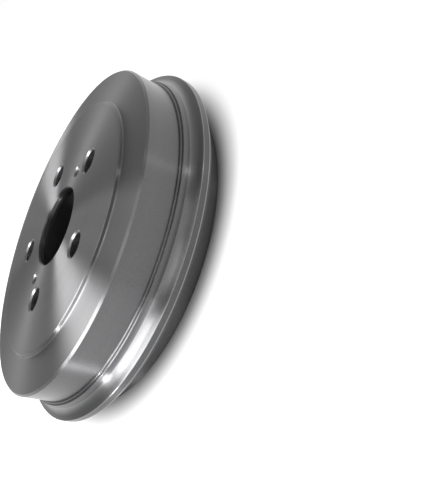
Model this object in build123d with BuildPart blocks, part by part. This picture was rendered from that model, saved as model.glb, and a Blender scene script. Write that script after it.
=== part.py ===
"""Rear brake drum, 200 mm: one grey-iron casting, turned all over but for a cast cove inside.

The drum stands on its open rim. The origin is the centre of the rim plane, +Z points up the
axle line to the wheel's mounting face, and +X points at one of the stud holes.
"""
from build123d import *
import os

# ---- Wheel pattern -------------------------------------------------------------------------
stud_count = 5
stud_circle = 100.0             # pitch circle diameter
stud_hole = 15.5                # clears an M12 stud
stud_chamfer = 0.6
jack_count = 2
jack_drill = 6.8                # tapping drill for M8
jack_chamfer = 0.7
jack_from_stud = -18.0          # degrees from the nearest stud hole
jack_from_bore = 11.4           # wall of the centre bore to the hole's middle
centre_bore = 54.0
bore_chamfer_face = 0.8
bore_chamfer_inside = 2.6

# ---- Friction ring ---------------------------------------------------------------------------
friction_diameter = 200.0
ring_wall = 10.1                # friction surface to the outside of the hat
mouth_chamfer = 1.6
runout_radius = 1.2
runout_ledge = 3.1              # turned ledge at the inner end of the friction surface

# ---- Heights, measured down from the mounting face ----------------------------------------------
overall_height = 52.5
web_thickness = 6.0
friction_end = 13.8             # ledge that ends the friction surface
hat_shoulder = 23.5             # upper bead
skirt_height = 5.6              # from the lower bead to the flange's shoulder
flange_edge = 4.4               # height of the flange's turned edge

# ---- Mounting face and the relieved ring round it --------------------------------------------------
face_diameter = 172.0
face_step = 2.3
step_run = 1.0
ring_drop = 1.3                 # fall of the conical ring from the step to the hat's corner
face_round = 0.8
step_fillet = 1.1
corner_chamfer = 1.2

# ---- Beads, skirt and flange on the outside ----------------------------------------------------------
bead_out = 1.3                  # each of the two beads stands this much further out
bead_fall = 1.1
bead_round = 0.5
skirt_fillet = 4.2
flange_reach = 10.4             # hat to the flange's edge
flange_fall = 1.8               # fall of the flange's upper shoulder
flange_round = 0.7
flange_chamfer = 3.5

# ---- Lip beyond the flange, which runs in the backing plate's groove -----------------------------------
lip_wall = 7.5
lip_chamfer = 1.0
lip_fillet = 2.2

# ---- Inside of the web -----------------------------------------------------------------------------------
cove_width = 14.8               # cast cove, from the ledge inwards to the turned disc's slope
cove_hollow = 2.4               # depth of the cast cove behind its chord
disc_rim = 1.3                  # run of the slope round the turned disc that seats on the hub
disc_step = 1.1                 # the cast skin stands proud of the disc by this much

# ---- Radii and heights that follow -------------------------------------------------------------------------
friction_radius = friction_diameter / 2
hat_radius = friction_radius + ring_wall
bead_radius = hat_radius + bead_out
skirt_radius = bead_radius + bead_out
flange_radius = hat_radius + flange_reach
lip_radius = friction_radius + lip_wall
ledge_radius = friction_radius - runout_ledge
cove_radius = ledge_radius - cove_width
disc_radius = cove_radius - disc_rim
face_radius = face_diameter / 2
bore_radius = centre_bore / 2
jack_radius = bore_radius + jack_from_bore

web_under = overall_height - web_thickness
ledge_height = overall_height - friction_end
ring_top = overall_height - face_step
hat_top = ring_top - ring_drop
bead_height = overall_height - hat_shoulder
skirt_top = bead_height - bead_fall
shoulder_height = skirt_top - skirt_height
edge_top = shoulder_height - flange_fall
edge_bottom = edge_top - flange_edge
flange_under = edge_bottom - flange_chamfer


def corner(radius, height):
    """The turned edge that lies nearest to a radius and a height."""
    circles = brake_drum.edges().filter_by(GeomType.CIRCLE)
    return circles.sort_by(lambda edge: abs(edge.radius - radius) + abs(edge.arc_center.Z - height))[0]


with BuildPart() as brake_drum:
    # Section through the wall, turned about the axle line
    with BuildSketch(Plane.XZ):
        with BuildLine():
            turned = Polyline(
                (cove_radius, web_under - disc_step),
                (disc_radius, web_under),
                (bore_radius, web_under),
                (bore_radius, overall_height),
                (face_radius, overall_height),
                (face_radius + step_run, ring_top),
                (hat_radius, hat_top),
                (hat_radius, bead_height),
                (bead_radius, bead_height),
                (bead_radius, skirt_top),
                (skirt_radius, skirt_top),
                (skirt_radius, shoulder_height),
                (flange_radius, edge_top),
                (flange_radius, edge_bottom),
                (flange_radius - flange_chamfer, flange_under),
                (lip_radius, flange_under),
                (lip_radius, 0),
                (friction_radius, 0),
                (friction_radius, ledge_height),
                (ledge_radius, ledge_height),
            )
            SagittaArc(turned @ 1, turned @ 0, -cove_hollow)
        make_face()
    revolve(axis=Axis.Z)

    # Corners rounded, filleted and broken by the turning tool
    fillet(corner(face_radius, overall_height), face_round)
    fillet(corner(face_radius + step_run, ring_top), step_fillet)
    chamfer(corner(hat_radius, hat_top), corner_chamfer)
    fillet(corner(bead_radius, bead_height), bead_round)
    fillet(corner(skirt_radius, skirt_top), bead_round)
    fillet(corner(skirt_radius, shoulder_height), skirt_fillet)
    fillet(corner(flange_radius, edge_top), flange_round)
    fillet(corner(lip_radius, flange_under), lip_fillet)
    chamfer(corner(lip_radius, 0), lip_chamfer)
    chamfer(corner(friction_radius, 0), mouth_chamfer)
    fillet(corner(friction_radius, ledge_height), runout_radius)
    chamfer(corner(bore_radius, overall_height), bore_chamfer_face)
    chamfer(corner(bore_radius, web_under), bore_chamfer_inside)

    # Stud holes, chamfered on both faces
    with Locations((0, 0, overall_height)):
        with PolarLocations(stud_circle / 2, stud_count):
            Hole(stud_hole / 2, web_thickness)
    stud_edges = brake_drum.edges(Select.LAST).filter_by(GeomType.CIRCLE)
    chamfer(stud_edges, stud_chamfer)

    # Two tapped holes, for the screws that jack the drum off its hub
    first_jack = 360 / stud_count + jack_from_stud
    with Locations((0, 0, overall_height)):
        with PolarLocations(jack_radius, jack_count, start_angle=first_jack):
            Hole(jack_drill / 2, web_thickness)
    jack_edges = brake_drum.edges(Select.LAST).filter_by(GeomType.CIRCLE)
    chamfer(jack_edges, jack_chamfer)

brake_drum.part.label = "brake_drum"
brake_drum.part.color = Color(0.45, 0.45, 0.46)

os.makedirs("parts", exist_ok=True)
export_step(brake_drum.part, "parts/brake_drum.step")
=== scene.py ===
"""Brake drum in turned grey iron, standing on its open rim on a pale studio floor."""
import logging
import math
from dataclasses import dataclass, field
from enum import Enum

import bmesh
import bpy
from bmesh.types import BMesh
from mathutils import Matrix, Vector, noise


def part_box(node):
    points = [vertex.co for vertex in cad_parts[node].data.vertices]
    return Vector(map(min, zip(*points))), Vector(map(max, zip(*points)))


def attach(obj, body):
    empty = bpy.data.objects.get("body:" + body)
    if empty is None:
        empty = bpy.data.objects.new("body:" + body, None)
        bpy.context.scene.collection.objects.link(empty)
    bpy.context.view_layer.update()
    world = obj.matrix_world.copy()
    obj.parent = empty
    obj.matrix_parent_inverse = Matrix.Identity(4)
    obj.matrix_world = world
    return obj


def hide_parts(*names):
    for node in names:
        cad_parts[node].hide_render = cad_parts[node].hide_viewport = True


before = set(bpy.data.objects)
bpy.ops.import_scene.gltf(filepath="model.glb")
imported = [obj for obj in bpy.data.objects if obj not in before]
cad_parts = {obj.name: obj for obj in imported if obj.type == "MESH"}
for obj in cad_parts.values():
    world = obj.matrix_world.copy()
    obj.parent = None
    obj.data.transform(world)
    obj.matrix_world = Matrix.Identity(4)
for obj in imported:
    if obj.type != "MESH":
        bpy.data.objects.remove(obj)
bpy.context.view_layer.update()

log = logging.getLogger("brake_drum")
MM = 0.001
NODE = "brake_drum"
BODY = "root"
ORIGIN = (0.0, 0.0, 0.0)
AXLE = (0.0, 0.0, 1.0)

# Sockets of a Mix node that mixes colours: the first three go in, the last comes out
MIX_FACTOR = 0
MIX_DARK = 6
MIX_LIGHT = 7
MIX_COLOUR = 2
# Quarter of a turn, which spreads the highlight across the turning marks instead of along them
ACROSS_MARKS = 0.25
# Share that the grain has in the tone of a turned surface; the turning marks have the rest
GRAIN_SHARE = 0.35
# Scale of the slow bands in a turned surface's tone, beside the turning marks' own
BAND_SCALE = 0.09
# Distances from the middle of a pore, in grains, at which it begins and is deepest
PORE_RANGE = (0.45, 0.1)
# Levels of the grain's noise that read as dark and as light
SPECKLE_RANGE = (0.42, 0.68)
# Upward part of a face's normal: under the first the face is upright, over the second it lies flat; steeper
# faces take darker copies of the iron, which is painted shade
UPRIGHT_LIMIT = 0.05
FLAT_LIMIT = 0.5


class Skin(Enum):
    """Surface finishes of the casting, in the order of its material slots; the turned and rim ones are darker
    as painted shade.
    """

    FACED = 0       # turned by a tool that travels along the radius
    TURNED = 1      # turned by a tool that travels along the axle line; its darker colour is painted shade
    RIM = 2         # edge and underside of the flange, lip and bore, left from the roughing cut and so rougher; their darker colour is painted shade
    DRILLED = 3     # walls of the stud holes and the tapped holes
    CAST = 4        # sand-cast skin, left rough


# Shader building blocks


class Nodes:
    """Places nodes in one tree and wires them by socket name."""

    def __init__(self, tree: bpy.types.NodeTree) -> None:
        """Keeps the tree and empties it.

        Args:
            tree: Node tree of a material, a world or a node group.
        """
        self.tree = tree
        tree.nodes.clear()

    def add(self, kind: str, inputs: dict | None = None, **settings: object) -> bpy.types.Node:
        """Adds one node.

        Args:
            kind: Node type without its "ShaderNode" prefix, or a full type name.
            inputs: Input names or numbers, each with a plain value or an output socket.
            settings: Properties of the node itself.

        Returns:
            The new node.
        """
        full = kind if kind.startswith("Node") else f"ShaderNode{kind}"
        node = self.tree.nodes.new(full)
        for name, value in settings.items():
            setattr(node, name, value)
        for name, value in (inputs or {}).items():
            if isinstance(value, bpy.types.NodeSocket):
                self.tree.links.new(value, node.inputs[name])
            else:
                node.inputs[name].default_value = value
        return node

    def math(self, operation: str, *values: object) -> bpy.types.NodeSocket:
        """Adds a Math node and returns its output."""
        return self.add("Math", dict(enumerate(values)), operation=operation).outputs[0]

    def ramp(self, value: object, low: float, high: float) -> bpy.types.NodeSocket:
        """Returns a smooth mask that rises from 0 at low to 1 at high."""
        node = self.add("MapRange", {"Value": value, "From Min": low, "From Max": high},
                        interpolation_type="SMOOTHSTEP")
        return node.outputs["Result"]


def grey(level: float) -> tuple[float, float, float, float]:
    """Opaque grey of one level."""
    return (level, level, level, 1.0)


def new_group(
    name: str, inputs: dict[str, tuple[str, object]], outputs: dict[str, str]
) -> bpy.types.NodeTree:
    """Makes an empty shader node group with named sockets.

    Args:
        name: Name of the group.
        inputs: Socket name to its type and default value (None for a vector that is always wired).
        outputs: Socket name to its type.

    Returns:
        The node group, without nodes.
    """
    tree = bpy.data.node_groups.new(name, "ShaderNodeTree")
    for socket, (kind, value) in inputs.items():
        item = tree.interface.new_socket(socket, in_out="INPUT", socket_type=kind)
        if value is not None:
            item.default_value = value
    for socket, kind in outputs.items():
        tree.interface.new_socket(socket, in_out="OUTPUT", socket_type=kind)
    return tree


def turning_marks() -> bpy.types.NodeTree:
    """Fine rings that a turning tool leaves round the axle line.

    The rings are noise over the distance from the axle and the height, stretched round the axle
    so far that each reads as a groove. Shared by the faced and both turned finishes.

    Returns:
        A group that puts out the grooves' height and a slow tone from band to band.
    """
    tree = new_group(
        "Turning marks",
        {"Point": ("NodeSocketVector", None), "Pitch": ("NodeSocketFloat", 0.6 * MM),
         "Wander": ("NodeSocketFloat", 0.5)},
        {"Height": "NodeSocketFloat", "Tone": "NodeSocketFloat"},
    )
    nodes = Nodes(tree)
    given = nodes.add("NodeGroupInput")
    split = nodes.add("SeparateXYZ", {"Vector": given.outputs["Point"]})
    x, y, z = split.outputs
    squares = nodes.math("ADD", nodes.math("MULTIPLY", x, x), nodes.math("MULTIPLY", y, y))
    radius = nodes.math("SQRT", squares)
    angle = nodes.math("ARCTAN2", y, x)
    across = nodes.math("DIVIDE", nodes.math("ADD", radius, z), given.outputs["Pitch"])
    along = nodes.math("DIVIDE", nodes.math("SUBTRACT", radius, z), given.outputs["Pitch"])
    drift = nodes.math("MULTIPLY", nodes.math("SINE", angle), given.outputs["Wander"])
    turn = nodes.math("MULTIPLY", nodes.math("COSINE", angle), given.outputs["Wander"])
    ringed = nodes.add("CombineXYZ", {"X": nodes.math("ADD", across, drift), "Y": turn, "Z": along})
    rings = ringed.outputs["Vector"]
    fine = nodes.add("TexNoise", {"Vector": rings, "Scale": 1.0, "Detail": 2.0, "Roughness": 0.6})
    wide = nodes.add("TexNoise", {"Vector": rings, "Scale": BAND_SCALE, "Detail": 3.0, "Roughness": 0.55})
    nodes.add("NodeGroupOutput", {"Height": fine.outputs["Fac"], "Tone": wide.outputs["Fac"]})
    return tree


def iron_grain() -> bpy.types.NodeTree:
    """Open grain of cast iron: specks and pores, at the same scale on every surface.

    Returns:
        A group that puts out the grain's height and its speckle.
    """
    tree = new_group(
        "Iron grain",
        {"Point": ("NodeSocketVector", None), "Grain": ("NodeSocketFloat", 1.2 * MM),
         "Pores": ("NodeSocketFloat", 0.3)},
        {"Height": "NodeSocketFloat", "Speckle": "NodeSocketFloat"},
    )
    nodes = Nodes(tree)
    given = nodes.add("NodeGroupInput")
    scale = nodes.math("DIVIDE", 1.0, given.outputs["Grain"])
    sand = nodes.add("TexNoise", {"Vector": given.outputs["Point"], "Scale": scale, "Detail": 4.0,
                                  "Roughness": 0.65})
    cells = nodes.add("TexVoronoi", {"Vector": given.outputs["Point"], "Scale": scale, "Randomness": 1.0},
                      feature="F1")
    open_pore = nodes.ramp(cells.outputs["Distance"], *PORE_RANGE)
    pore = nodes.math("MULTIPLY", open_pore, given.outputs["Pores"])
    height = nodes.math("SUBTRACT", sand.outputs["Fac"], pore)
    speckle = nodes.ramp(sand.outputs["Fac"], *SPECKLE_RANGE)
    nodes.add("NodeGroupOutput", {"Height": height, "Speckle": speckle})
    return tree


@dataclass(frozen=True)
class IronFinish:
    """One finish of the grey iron.

    Args:
        name: Name of the material.
        dark: Colour in the hollows of the marks.
        light: Colour on their crests.
        roughness: Mean roughness.
        roughness_swing: How far the tone moves the roughness.
        grain: Size of the iron's grain, in metres.
        grain_depth: Bump depth of the grain, in metres.
        pores: Depth of the open pores in the grain, as a share of the grain's own.
        anisotropy: Stretch of the highlight across the turning marks, 0 for none.
        marks_pitch: Spacing of the turning marks, in metres, 0 for none.
        marks_depth: Bump depth of the turning marks, in metres.
    """

    name: str
    dark: tuple[float, float, float]
    light: tuple[float, float, float]
    roughness: float
    roughness_swing: float
    grain: float
    grain_depth: float
    pores: float
    anisotropy: float = 0.0
    marks_pitch: float = 0.0
    marks_depth: float = 0.0

    def build(self, marks: bpy.types.NodeTree, grain: bpy.types.NodeTree) -> bpy.types.Material:
        """Builds the material.

        Args:
            marks: The turning marks group.
            grain: The iron grain group.

        Returns:
            The material.
        """
        material = bpy.data.materials.new(self.name)
        material.use_nodes = True
        nodes = Nodes(material.node_tree)
        point = nodes.add("TexCoord").outputs["Object"]
        cast = nodes.add("Group", {"Point": point, "Grain": self.grain, "Pores": self.pores}, node_tree=grain)
        bump = nodes.add("Bump", {"Height": cast.outputs["Height"], "Distance": self.grain_depth,
                                  "Strength": 1.0})
        tone = cast.outputs["Speckle"]
        if self.marks_pitch:
            turned = nodes.add("Group", {"Point": point, "Pitch": self.marks_pitch}, node_tree=marks)
            bump = nodes.add("Bump", {"Height": turned.outputs["Height"], "Distance": self.marks_depth,
                                      "Strength": 1.0, "Normal": bump.outputs["Normal"]})
            tone = nodes.math("ADD", nodes.math("MULTIPLY", tone, GRAIN_SHARE),
                              nodes.math("MULTIPLY", turned.outputs["Tone"], 1.0 - GRAIN_SHARE))
        colour = nodes.add("Mix", {MIX_FACTOR: tone, MIX_DARK: (*self.dark, 1.0),
                                   MIX_LIGHT: (*self.light, 1.0)}, data_type="RGBA")
        smoothest = self.roughness - self.roughness_swing / 2
        roughness = nodes.math("MULTIPLY_ADD", tone, self.roughness_swing, smoothest)
        shader = nodes.add("BsdfPrincipled", {
            "Base Color": colour.outputs[MIX_COLOUR], "Metallic": 1.0, "Roughness": roughness,
            "Anisotropic": self.anisotropy, "Normal": bump.outputs["Normal"],
        })
        if self.anisotropy:
            ring = nodes.add("Tangent", direction_type="RADIAL", axis="Z")
            nodes.tree.links.new(ring.outputs["Tangent"], shader.inputs["Tangent"])
            shader.inputs["Anisotropic Rotation"].default_value = ACROSS_MARKS
        nodes.add("OutputMaterial", {"Surface": shader.outputs["BSDF"]})
        return material


FINISHES: dict[Skin, IronFinish] = {
    Skin.FACED: IronFinish(
        "Faced iron", dark=(0.26, 0.26, 0.265), light=(0.34, 0.34, 0.345),
        roughness=0.344, roughness_swing=0.03, anisotropy=0.98,
        marks_pitch=0.9 * MM, marks_depth=0.0006 * MM, grain=0.9 * MM, grain_depth=0.0008 * MM, pores=0.2),
    # A little smoother than the faced iron; its darker colour is painted shade on the steeper faces
    Skin.TURNED: IronFinish(
        "Shaded turned iron", dark=(0.115, 0.115, 0.118), light=(0.165, 0.165, 0.168),
        roughness=0.29, roughness_swing=0.03, anisotropy=0.97,
        marks_pitch=0.9 * MM, marks_depth=0.0006 * MM, grain=0.9 * MM, grain_depth=0.0008 * MM, pores=0.2),
    # Rougher than the turned iron, and painted darker still as shade on the flange's edge and underside, the
    # lip and the bore
    Skin.RIM: IronFinish(
        "Shaded rough turned iron", dark=(0.085, 0.085, 0.087), light=(0.14, 0.14, 0.143),
        roughness=0.36, roughness_swing=0.06, anisotropy=0.9,
        marks_pitch=0.9 * MM, marks_depth=0.002 * MM, grain=0.9 * MM, grain_depth=0.002 * MM, pores=0.3),
    Skin.DRILLED: IronFinish(
        "Drilled iron", dark=(0.30, 0.30, 0.31), light=(0.46, 0.46, 0.47),
        roughness=0.34, roughness_swing=0.08, grain=0.7 * MM, grain_depth=0.006 * MM, pores=0.2),
    Skin.CAST: IronFinish(
        "Cast iron skin", dark=(0.05, 0.05, 0.052), light=(0.30, 0.30, 0.305),
        roughness=0.50, roughness_swing=0.16, grain=0.7 * MM, grain_depth=0.22 * MM, pores=0.5),
}


# The casting


@dataclass(frozen=True)
class Corner:
    """One corner of the turned section.

    Args:
        radius: Distance from the axle line.
        height: Height above the rim's plane.
        cut: Tangent length of the corner's rounding, or leg of its chamfer; 0 leaves it sharp.
        steps: Facets of the rounding, 1 for a chamfer.
    """

    radius: float
    height: float
    cut: float = 0.0
    steps: int = 5


@dataclass(frozen=True)
class RoundHole:
    """A hole through the web, parallel to the axle line.

    Args:
        centre: Its middle.
        radius: Radius of its wall.
        chamfer: Leg of the chamfer at both faces.
        thread_pitch: Pitch of the thread in its wall, 0 for a plain hole.
        thread_depth: Depth of that thread.
    """

    centre: Vector
    radius: float
    chamfer: float
    thread_pitch: float = 0.0
    thread_depth: float = 0.0


@dataclass
class DrumCasting:
    """The whole drum: web, hat, flange, lip, friction ring and cast cove, as one closed mesh."""

    # Wheel pattern
    stud_count: int = 5
    stud_circle_radius: float = 50.0 * MM
    stud_radius: float = 7.75 * MM
    stud_chamfer: float = 1.1 * MM
    jack_count: int = 2
    jack_circle_radius: float = 38.4 * MM
    jack_radius: float = 3.4 * MM
    jack_chamfer: float = 1.0 * MM
    jack_start: float = math.radians(54.0)
    jack_thread_pitch: float = 1.25 * MM
    jack_thread_depth: float = 0.62 * MM
    bore_radius: float = 27.0 * MM
    bore_chamfer_face: float = 0.8 * MM
    bore_chamfer_inside: float = 2.6 * MM
    # Section: radii and widths
    face_radius: float = 86.0 * MM
    face_land: float = 1.6 * MM
    step_run: float = 1.0 * MM
    hat_radius: float = 110.1 * MM
    bead_out: float = 1.3 * MM
    flange_chamfer: float = 3.5 * MM
    lip_radius: float = 107.5 * MM
    friction_radius: float = 100.0 * MM
    ledge_radius: float = 96.9 * MM
    cove_radius: float = 82.1 * MM
    disc_radius: float = 80.8 * MM
    # Section: depths and falls along the axle line
    web_thickness: float = 6.0 * MM
    face_step: float = 2.3 * MM
    ring_drop: float = 1.3 * MM
    hat_shoulder: float = 23.5 * MM
    bead_fall: float = 1.1 * MM
    skirt_height: float = 5.6 * MM
    flange_fall: float = 1.8 * MM
    flange_edge: float = 4.4 * MM
    friction_end: float = 13.8 * MM
    disc_step: float = 1.1 * MM
    cove_hollow: float = 2.4 * MM
    # Corners: tangent length of a round or fillet, leg of a chamfer
    face_round: float = 0.443 * MM
    step_fillet: float = 0.61 * MM
    corner_chamfer: float = 1.2 * MM
    bead_round: float = 0.5 * MM
    skirt_fillet: float = 5.2 * MM
    flange_round: float = 0.56 * MM
    edge_round: float = 0.5 * MM
    lip_fillet: float = 2.2 * MM
    lip_chamfer: float = 1.0 * MM
    mouth_chamfer: float = 1.6 * MM
    runout_fillet: float = 1.2 * MM
    # Fineness
    sectors: int = 12
    sector_steps: int = 60
    hole_steps: int = 64
    cove_rows: int = 22
    thread_rows: int = 10
    thread_run_out: float = 0.3 * MM
    weld: float = 0.004 * MM
    crease: float = math.radians(34.0)
    # Sand-cast skin: coarse grains, and finer ones with a share of their height
    sand_height: float = 0.16 * MM
    sand_size: float = 1.5 * MM
    fine_share: float = 0.6
    fine_ratio: float = 2.3
    fine_shift: tuple[float, float, float] = (7.0, 3.0, 1.0)
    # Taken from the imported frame
    flange_radius: float = field(init=False)
    top: float = field(init=False)

    def __post_init__(self) -> None:
        """Takes the flange's radius and the mounting face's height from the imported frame."""
        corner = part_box(NODE)[1]
        self.flange_radius = corner.x
        self.top = corner.z

    @property
    def web_under(self) -> float:
        """Height of the web's inner face."""
        return self.top - self.web_thickness

    def corners(self) -> list[Corner]:
        """Places the corners of the turned section.

        Returns:
            The corners, from the mounting face's edge round the outside to the inner disc.
        """
        hat_top = self.top - self.face_step - self.ring_drop
        bead = self.top - self.hat_shoulder
        bead_radius = self.hat_radius + self.bead_out
        skirt_radius = bead_radius + self.bead_out
        shoulder = bead - self.bead_fall - self.skirt_height
        edge_top = shoulder - self.flange_fall
        edge_bottom = edge_top - self.flange_edge
        under = edge_bottom - self.flange_chamfer
        ledge = self.top - self.friction_end
        return [
            Corner(self.face_radius - self.face_land, self.top),
            Corner(self.face_radius, self.top, self.face_round),
            Corner(self.face_radius + self.step_run, self.top - self.face_step, self.step_fillet),
            Corner(self.hat_radius, hat_top, self.corner_chamfer, steps=1),
            Corner(self.hat_radius, bead),
            Corner(bead_radius, bead, self.bead_round),
            Corner(bead_radius, bead - self.bead_fall),
            Corner(skirt_radius, bead - self.bead_fall, self.bead_round),
            Corner(skirt_radius, shoulder, self.skirt_fillet, steps=14),
            Corner(self.flange_radius, edge_top, self.flange_round),
            Corner(self.flange_radius, edge_bottom, self.edge_round, steps=4),
            Corner(self.flange_radius - self.flange_chamfer, under),
            Corner(self.lip_radius, under, self.lip_fillet, steps=8),
            Corner(self.lip_radius, 0.0, self.lip_chamfer, steps=1),
            Corner(self.friction_radius, 0.0, self.mouth_chamfer, steps=1),
            Corner(self.friction_radius, ledge, self.runout_fillet, steps=6),
            Corner(self.ledge_radius, ledge),
            *self.cove(Vector((self.ledge_radius, ledge)),
                       Vector((self.cove_radius, self.web_under - self.disc_step))),
            Corner(self.cove_radius, self.web_under - self.disc_step),
            Corner(self.disc_radius, self.web_under),
        ]

    def cove(self, ledge: Vector, disc: Vector) -> list[Corner]:
        """Points along the hollow arc of the cast skin, between the ledge and the inner disc.

        Args:
            ledge: Radius and height where the arc leaves the turned ledge.
            disc: Radius and height where it meets the slope of the inner disc.

        Returns:
            The arc's inner points, evenly spaced.
        """
        chord = disc - ledge
        half = chord.length / 2
        bend = (half * half + self.cove_hollow ** 2) / (2 * self.cove_hollow)
        away = Vector((-chord.y, chord.x)).normalized()
        if away.y > 0:
            away = -away
        middle = (ledge + disc) / 2 + away * (bend - self.cove_hollow)
        start = math.atan2(ledge.y - middle.y, ledge.x - middle.x)
        sweep = math.atan2(disc.y - middle.y, disc.x - middle.x) - start
        angles = [start + sweep * row / self.cove_rows for row in range(1, self.cove_rows)]
        return [Corner(middle.x + bend * math.cos(a), middle.y + bend * math.sin(a)) for a in angles]

    def holes(self) -> list[RoundHole]:
        """Lays out the wheel pattern.

        Returns:
            The stud holes and the tapped holes.
        """
        studs = [RoundHole(self.place(self.stud_circle_radius, math.tau * k / self.stud_count),
                           self.stud_radius, self.stud_chamfer) for k in range(self.stud_count)]
        turns = [self.jack_start + math.tau * k / self.jack_count for k in range(self.jack_count)]
        jacks = [RoundHole(self.place(self.jack_circle_radius, turn), self.jack_radius, self.jack_chamfer,
                           self.jack_thread_pitch, self.jack_thread_depth) for turn in turns]
        return studs + jacks

    @staticmethod
    def place(radius: float, angle: float) -> Vector:
        """Point in the rim's plane, by its distance from the axle line and its angle."""
        return Vector((radius * math.cos(angle), radius * math.sin(angle), 0.0))

    def section(self, mesh: BMesh) -> None:
        """Draws the section as a chain of edges and cuts its corners.

        Args:
            mesh: Mesh that the chain is added to.
        """
        corners = self.corners()
        chain = [mesh.verts.new((c.radius, 0.0, c.height)) for c in corners]
        for start, end in zip(chain, chain[1:]):
            mesh.edges.new((start, end))
        for vertex, corner in zip(chain, corners):
            if corner.cut:
                bmesh.ops.bevel(mesh, geom=[vertex], offset=corner.cut, offset_type="OFFSET",
                                segments=corner.steps, profile=0.5, affect="VERTICES", material=-1)

    def turn(self, mesh: BMesh, sectors: int, steps: int) -> None:
        """Turns a chain of edges once round the axle line: first one sector, then its copies.

        Args:
            mesh: Mesh that holds only the chain.
            sectors: Number of equal sectors in a full turn.
            steps: Facets of one sector.
        """
        sweep = math.tau / sectors
        bmesh.ops.spin(mesh, geom=mesh.verts[:] + mesh.edges[:], cent=ORIGIN, axis=AXLE, dvec=ORIGIN,
                       angle=sweep, steps=steps, use_merge=sectors == 1, use_duplicate=False)
        if sectors > 1:
            bmesh.ops.spin(mesh, geom=mesh.verts[:] + mesh.edges[:] + mesh.faces[:], cent=ORIGIN,
                           axis=AXLE, dvec=ORIGIN, angle=sweep * (sectors - 1), steps=sectors - 1,
                           use_duplicate=True)
            bmesh.ops.remove_doubles(mesh, verts=mesh.verts, dist=self.weld)

    def shell(self) -> BMesh:
        """Turns the section and marks each face with its finish, the darker ones being painted shade.

        Returns:
            The turned section, with a round opening in each side of the web.
        """
        mesh = bmesh.new()
        self.section(mesh)
        self.turn(mesh, self.sectors, self.sector_steps)
        self.paint_finish_and_shade(mesh)
        return mesh

    def paint_finish_and_shade(self, mesh: BMesh) -> None:
        """Gives each turned face its finish, from the slope of the face and its place: steeper faces, the
        flange's edge and underside and the lip get darker copies of the faced iron, which is painted shade.

        Args:
            mesh: The turned section.
        """
        ledge = self.top - self.friction_end
        # A little above the cove's last row, and below the middle of the slope up to the disc
        cove_end = self.web_under - self.disc_step * 0.9
        flange_top = self.top - self.hat_shoulder - self.bead_fall - self.skirt_height - self.flange_fall
        # Includes the outer half of the round under the flange's edge
        edge = self.flange_radius - self.edge_round / 2
        for face in mesh.faces:
            middle = face.calc_center_median()
            radius = math.hypot(middle.x, middle.y)
            slope = abs(face.normal.z)
            if self.cove_radius < radius < self.ledge_radius and ledge < middle.z < cove_end:
                skin = Skin.CAST
            elif middle.z < flange_top and radius > edge:
                # The flange's upright edge takes the painted shade; its rounds keep the faced tone and read
                # as lighter lines
                skin = Skin.RIM if slope < UPRIGHT_LIMIT else Skin.FACED
            elif middle.z < flange_top and radius > self.friction_radius + self.mouth_chamfer:
                # The flange's underside and the lip take the painted shade
                skin = Skin.RIM
            else:
                # Faces that lie flat keep the faced tone; steeper ones take the darker turned finish, which
                # is painted shade
                skin = Skin.FACED if slope > FLAT_LIMIT else Skin.TURNED
            face.material_index = skin.value

    def roughen(self, mesh: BMesh) -> None:
        """Raises the sand-cast skin of the cove into grains.

        Args:
            mesh: The turned section, with its finishes.
        """
        mesh.normal_update()
        cast = Skin.CAST.value
        for vert in mesh.verts:
            if vert.link_faces and all(face.material_index == cast for face in vert.link_faces):
                spot = vert.co / self.sand_size
                fine = noise.noise(spot * self.fine_ratio + Vector(self.fine_shift))
                grain = noise.noise(spot) + self.fine_share * fine
                vert.co += vert.normal * self.sand_height * grain

    def bore(self, mesh: BMesh) -> None:
        """Adds the centre bore's wall with its two chamfers, in the rim finish, whose darker colour is
        painted shade.

        Args:
            mesh: The casting.
        """
        low, high, radius = self.web_under, self.top, self.bore_radius
        points = [(radius + self.bore_chamfer_face, high), (radius, high - self.bore_chamfer_face),
                  (radius, low + self.bore_chamfer_inside), (radius + self.bore_chamfer_inside, low)]
        # The bore's wall is painted dark as shade
        self.append(mesh, self.wall(points, self.sectors, self.sector_steps), Vector(), Skin.RIM)

    def wall(self, points: list[tuple[float, float]], sectors: int, steps: int) -> BMesh:
        """Turns a short open chain into the wall of a hole that lies on the axle line.

        Args:
            points: Radii and heights of the chain, from the mounting face inwards.
            sectors: Number of equal sectors in a full turn.
            steps: Facets of one sector.

        Returns:
            The wall, as a mesh of its own.
        """
        wall = bmesh.new()
        chain = [wall.verts.new((radius, 0.0, height)) for radius, height in points]
        for pair in zip(chain, chain[1:]):
            wall.edges.new(pair)
        self.turn(wall, sectors, steps)
        return wall

    def append(self, mesh: BMesh, part: BMesh, place: Vector, skin: Skin) -> None:
        """Moves a part to its place, gives it its finish and adds it to the casting.

        Args:
            mesh: The casting.
            part: The part, which is used up.
            place: Where the part's own axis goes.
            skin: Finish of the part.
        """
        bmesh.ops.translate(part, verts=part.verts, vec=place)
        for face in part.faces:
            face.material_index = skin.value
        data = bpy.data.meshes.new("part")
        part.to_mesh(data)
        part.free()
        mesh.from_mesh(data)
        bpy.data.meshes.remove(data)

    def drill(self, mesh: BMesh, hole: RoundHole) -> None:
        """Adds one hole's wall, with its thread where it has one.

        Args:
            mesh: The casting.
            hole: The hole.
        """
        low, high = self.web_under + hole.chamfer, self.top - hole.chamfer
        rows = round(self.thread_rows * (high - low) / hole.thread_pitch) if hole.thread_pitch else 1
        points = [(hole.radius, high + (low - high) * row / rows) for row in range(rows + 1)]
        rim = hole.radius + hole.chamfer
        wall = self.wall([(rim, self.top), *points, (rim, self.web_under)], sectors=1, steps=self.hole_steps)
        if hole.thread_pitch:
            self.cut_thread(wall, hole, low, high)
        self.append(mesh, wall, hole.centre, Skin.DRILLED)

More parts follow.
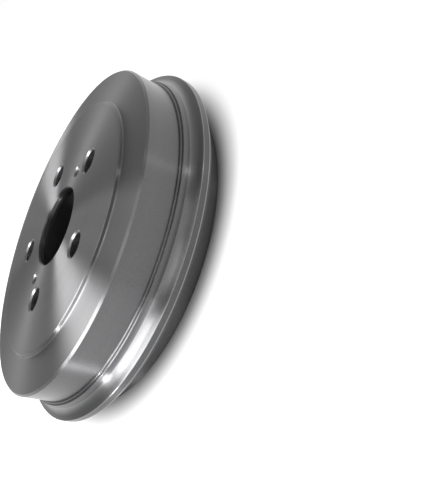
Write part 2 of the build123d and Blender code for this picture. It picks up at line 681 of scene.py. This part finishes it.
    def cut_thread(self, wall: BMesh, hole: RoundHole, low: float, high: float) -> None:
        """Presses a helical thread into the wall of a tapped hole that lies on the axle line.

        Args:
            wall: The hole's wall.
            hole: The hole.
            low: Height where the wall begins.
            high: Height where it ends.
        """
        for vert in wall.verts:
            if low < vert.co.z < high:
                out = Vector((vert.co.x, vert.co.y, 0.0)).normalized()
                turns = (vert.co.z - low) / hole.thread_pitch - math.atan2(out.y, out.x) / math.tau
                flank = abs((turns % 1.0) * 2.0 - 1.0)
                to_end = min(vert.co.z - low, high - vert.co.z)
                vert.co += out * hole.thread_depth * flank * min(1.0, to_end / self.thread_run_out)

    def close_web(self, mesh: BMesh) -> None:
        """Fills the two flat faces of the web between the section, the bore and the holes.

        Args:
            mesh: The casting, with every wall in place.
        """
        for height in (self.top, self.web_under):
            rim = [e for e in mesh.edges
                   if e.is_boundary and all(abs(v.co.z - height) < self.weld for v in e.verts)]
            filled = bmesh.ops.triangle_fill(mesh, use_beauty=True, use_dissolve=False, edges=rim)
            for face in filled["geom"]:
                if isinstance(face, bmesh.types.BMFace):
                    face.material_index = Skin.FACED.value

    def seal(self, mesh: BMesh) -> None:
        """Joins the walls to the web, turns every face outwards and marks the sharp edges.

        Args:
            mesh: The casting, with the web closed.
        """
        bmesh.ops.remove_doubles(mesh, verts=mesh.verts, dist=self.weld)
        bmesh.ops.recalc_face_normals(mesh, faces=mesh.faces)
        for face in mesh.faces:
            face.smooth = True
        for edge in mesh.edges:
            edge.smooth = len(edge.link_faces) == 2 and edge.calc_face_angle(0.0) < self.crease
        open_edges = sum(1 for edge in mesh.edges if len(edge.link_faces) != 2)
        log.info("casting closed, with %d open edges", open_edges)

    def build(self, materials: dict[Skin, bpy.types.Material]) -> bpy.types.Object:
        """Builds the casting and dresses it.

        Args:
            materials: Material of each finish.

        Returns:
            The finished piece.
        """
        mesh = self.shell()
        self.roughen(mesh)
        self.bore(mesh)
        for hole in self.holes():
            self.drill(mesh, hole)
        self.close_web(mesh)
        self.seal(mesh)
        data = bpy.data.meshes.new("drum_casting")
        mesh.to_mesh(data)
        mesh.free()
        for skin in Skin:
            data.materials.append(materials[skin])
        piece = bpy.data.objects.new("drum_casting", data)
        bpy.context.scene.collection.objects.link(piece)
        weighted = piece.modifiers.new("Even shading", "WEIGHTED_NORMAL")
        weighted.weight = 100
        weighted.keep_sharp = True
        bake_modifiers(piece)
        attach(piece, BODY)
        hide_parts(NODE)
        return piece


def bake_modifiers(piece: bpy.types.Object) -> None:
    """Applies a piece's modifiers to its mesh.

    Args:
        piece: The piece.
    """
    bpy.context.view_layer.update()
    graph = bpy.context.evaluated_depsgraph_get()
    baked = bpy.data.meshes.new_from_object(piece.evaluated_get(graph), depsgraph=graph)
    piece.modifiers.clear()
    piece.data = baked


# Studio


@dataclass(frozen=True)
class Bearing:
    """A place given by its direction and distance from the drum's middle.

    Args:
        azimuth: Degrees from +X, round +Z.
        elevation: Degrees above the floor.
        distance: Distance in metres.
    """

    azimuth: float
    elevation: float
    distance: float

    @property
    def vector(self) -> Vector:
        """The place, measured from the drum's middle."""
        around, up = math.radians(self.azimuth), math.radians(self.elevation)
        level = Vector((math.cos(around), math.sin(around), 0.0)) * math.cos(up)
        return self.distance * (level + Vector((0.0, 0.0, math.sin(up))))


@dataclass(frozen=True)
class Softbox:
    """A long flat lamp hung between two places, with its face turned to the drum.

    Args:
        name: Name of the lamp.
        start: Middle of one end.
        end: Middle of the other end.
        width: Width across, in metres.
        brightness: Brightness of its face, where 1 looks white.
    """

    name: str
    start: Bearing
    end: Bearing
    width: float
    brightness: float

    def build(self, target: Vector) -> bpy.types.Object:
        """Builds the lamp.

        Args:
            target: The drum's middle.

        Returns:
            The lamp.
        """
        start, end = self.start.vector, self.end.vector
        along = (end - start).normalized()
        across = along.cross(start + end).normalized()
        lamp = bpy.data.lights.new(self.name, "AREA")
        lamp.shape = "RECTANGLE"
        lamp.size = self.width
        lamp.size_y = (end - start).length
        lamp.energy = self.brightness * math.pi * lamp.size * lamp.size_y
        body = bpy.data.objects.new(self.name, lamp)
        turned = Matrix((across, along, across.cross(along))).transposed().to_4x4()
        body.matrix_world = Matrix.Translation(target + (start + end) / 2) @ turned
        bpy.context.scene.collection.objects.link(body)
        return body


@dataclass(frozen=True)
class Studio:
    """Pale floor, pale surroundings and soft lamps.

    Args:
        floor_size: Side of the floor.
        floor_gap: How far the floor lies under the rim's plane.
        floor_colour: Grey of the floor under the lamps.
        floor_glow: Brightness that the camera, gloss and glass see on top of that.
        painted_shadow_radii: Radii between which the glow comes in; there is none under the drum, which
            paints shade there, and it fades in out to a little past the rim, a painted shadow round it.
        softboxes: The lamps.
        sky: Elevations in degrees and the surroundings' brightness at each, from horizon to zenith.
    """

    floor_size: float = 30.0
    floor_gap: float = 0.1 * MM
    floor_colour: float = 0.4
    floor_glow: float = 0.85
    painted_shadow_radii: tuple[float, float] = (105.0 * MM, 130.0 * MM)
    softboxes: tuple[Softbox, ...] = (
        Softbox("Long softbox", Bearing(92.0, 38.0, 0.88), Bearing(-1.2, 57.0, 2.0),
                width=0.52, brightness=5.6),
        Softbox("Low softbox", Bearing(74.0, 21.0, 1.2), Bearing(130.0, 21.0, 1.2),
                width=0.26, brightness=4.5),
        Softbox("Strip lamp", Bearing(72.0, 1.0, 1.15), Bearing(72.0, 13.0, 1.15),
                width=0.07, brightness=60.0),
        Softbox("Top softbox", Bearing(0.0, 82.0, 1.2), Bearing(180.0, 82.0, 1.2),
                width=0.34, brightness=2.5),
        Softbox("Side softbox", Bearing(-90.0, 68.0, 1.2), Bearing(-50.0, 68.0, 1.2),
                width=0.3, brightness=2.0),
        Softbox("Front softbox", Bearing(128.0, 52.0, 1.2), Bearing(208.0, 52.0, 1.2),
                width=0.22, brightness=1.8),
        Softbox("Front strip", Bearing(208.0, 1.0, 1.2), Bearing(208.0, 13.0, 1.2),
                width=0.07, brightness=7.0),
    )
    sky: tuple[tuple[float, float], ...] = (
        (0.0, 0.9), (12.0, 0.9), (17.0, 0.15), (24.0, 0.25), (50.0, 0.25), (60.0, 0.1), (90.0, 0.1))

    def floor(self) -> bpy.types.Object:
        """Lays a pale floor under the rim, which reads as white to the camera and to the metal.

        Its glow is left out under the drum and fades in out to a little past its rim, which paints shade
        under the drum, so that the bore stays dark, and a soft painted shadow round the rim; the floor also
        keeps the drum's real shadow.

        Returns:
            The floor.
        """
        mesh = bmesh.new()
        bmesh.ops.create_grid(mesh, x_segments=1, y_segments=1, size=self.floor_size / 2)
        data = bpy.data.meshes.new("floor")
        mesh.to_mesh(data)
        mesh.free()
        floor = bpy.data.objects.new("floor", data)
        floor.location.z = -self.floor_gap
        bpy.context.scene.collection.objects.link(floor)
        material = bpy.data.materials.new("Pale floor")
        material.use_nodes = True
        nodes = Nodes(material.node_tree)
        path = nodes.add("LightPath")
        bent = nodes.math("MAXIMUM", path.outputs["Is Glossy Ray"], path.outputs["Is Transmission Ray"])
        seen = nodes.math("MAXIMUM", path.outputs["Is Camera Ray"], bent)
        away = nodes.add("VectorMath", {0: nodes.add("TexCoord").outputs["Object"]}, operation="LENGTH")
        # Painted shadow: no glow under the drum, fading in out to a little past its rim
        level = nodes.math("MULTIPLY", nodes.ramp(away.outputs["Value"], *self.painted_shadow_radii), self.floor_glow)
        matt = nodes.add("BsdfDiffuse", {"Color": grey(self.floor_colour)})
        glow = nodes.add("Emission", {"Strength": nodes.math("MULTIPLY", seen, level)})
        both = nodes.add("AddShader", {0: matt.outputs["BSDF"], 1: glow.outputs["Emission"]})
        nodes.add("OutputMaterial", {"Surface": both.outputs["Shader"]})
        data.materials.append(material)
        return floor

    def world(self) -> None:
        """Surrounds the scene with plain light that depends only on the height above the horizon."""
        world = bpy.data.worlds.new("Studio")
        bpy.context.scene.world = world
        world.use_nodes = True
        nodes = Nodes(world.node_tree)
        direction = nodes.add("SeparateXYZ", {"Vector": nodes.add("TexCoord").outputs["Generated"]})
        ramp = nodes.add("ValToRGB", {"Fac": direction.outputs["Z"]})
        stops = ramp.color_ramp.elements
        horizon, *between, zenith = self.sky
        stops[0].color = grey(horizon[1])
        stops[1].color = grey(zenith[1])
        for elevation, level in between:
            stops.new(math.sin(math.radians(elevation))).color = grey(level)
        back = nodes.add("Background", {"Color": ramp.outputs["Color"]})
        nodes.add("OutputWorld", {"Surface": back.outputs["Background"]})

    def build(self, target: Vector) -> None:
        """Builds the floor, the surroundings and the lamps.

        Args:
            target: The drum's middle, which the lamps face.
        """
        self.floor()
        self.world()
        for softbox in self.softboxes:
            softbox.build(target)


@dataclass(frozen=True)
class Viewpoint:
    """The camera: looks down on the drum's mounting face, rolled so that the axle line lies across.

    Args:
        place: Where it stands, in metres.
        heading: Degrees from +X, round +Z, of the way it looks.
        tilt: Degrees above the floor of the way it looks.
        roll: Degrees that it is turned about its own line of sight.
        lens: Focal length, in millimetres.
        shift_x: Sideways shift of the frame, as a share of its longer side.
        shift_y: Upward shift of the frame, as a share of its longer side.
    """

    place: tuple[float, float, float] = (-299.2 * MM, 159.4 * MM, 144.3 * MM)
    heading: float = -29.50
    tilt: float = -32.00
    roll: float = -70.36
    lens: float = 37.02
    shift_x: float = 0.0253
    shift_y: float = 0.0354

    def build(self) -> bpy.types.Object:
        """Builds the camera and makes it the scene's.

        Returns:
            The camera.
        """
        camera = bpy.data.cameras.new("camera")
        camera.lens = self.lens
        camera.shift_x = self.shift_x
        camera.shift_y = self.shift_y
        camera.clip_start = 0.01
        body = bpy.data.objects.new("camera", camera)
        level = Matrix.Rotation(math.radians(self.heading - 90.0), 4, "Z")
        nod = Matrix.Rotation(math.radians(90.0 + self.tilt), 4, "X")
        lean = Matrix.Rotation(math.radians(self.roll), 4, "Z")
        body.matrix_world = Matrix.Translation(Vector(self.place)) @ level @ nod @ lean
        bpy.context.scene.collection.objects.link(body)
        bpy.context.scene.camera = body
        return body


def main() -> None:
    """Builds the drum, the studio and the camera."""
    logging.basicConfig(level=logging.INFO, format="%(name)s: %(message)s")
    log.info("frame: %d node(s)", len(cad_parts))
    marks = turning_marks()
    grain = iron_grain()
    materials = {skin: finish.build(marks, grain) for skin, finish in FINISHES.items()}
    casting = DrumCasting().build(materials)
    log.info("%s: %d faces in %d finishes", casting.name, len(casting.data.polygons), len(materials))
    low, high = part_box(NODE)
    studio = Studio()
    studio.build((low + high) / 2)
    log.info("studio: floor, surroundings and %d softboxes", len(studio.softboxes))
    camera = Viewpoint().build()
    log.info("%s: %.1f mm lens", camera.name, camera.data.lens)
    bpy.context.scene.view_settings.view_transform = "Standard"


if __name__ == "__main__":
    main()
